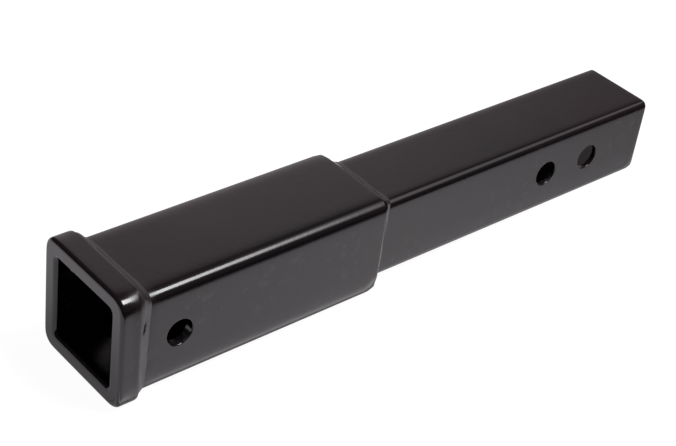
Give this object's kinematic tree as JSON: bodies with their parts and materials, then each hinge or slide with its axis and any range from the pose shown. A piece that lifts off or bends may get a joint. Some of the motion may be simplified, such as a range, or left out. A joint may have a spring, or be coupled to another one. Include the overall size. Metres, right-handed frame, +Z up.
{
  "type": "hitch receiver extender",
  "caption": "Welded square steel extender for a hitch receiver: a collared socket with a cross pin hole, and a narrower hollow shank with cross pin holes near its end.",
  "frame": {"origin": "centre of the receiver's pin hole, on the tubes' common axis", "axes": "+X along the tubes from the mouth to the shank's free end, +Z up, pin holes run along Y"},
  "size_m": [0.413, 0.073, 0.073],
  "materials": {
    "tube_paint": "gloss black powder coat",
    "weld_paint": "gloss black powder coat over a weld bead"
  },
  "bodies": {
    "root": {"receiver_tube": "tube_paint", "mouth_collar": "tube_paint", "shank_tube": "tube_paint", "mouth_seam_weld": "weld_paint", "collar_weld": "weld_paint", "shank_weld": "weld_paint"}
  },
  "joints": []
}
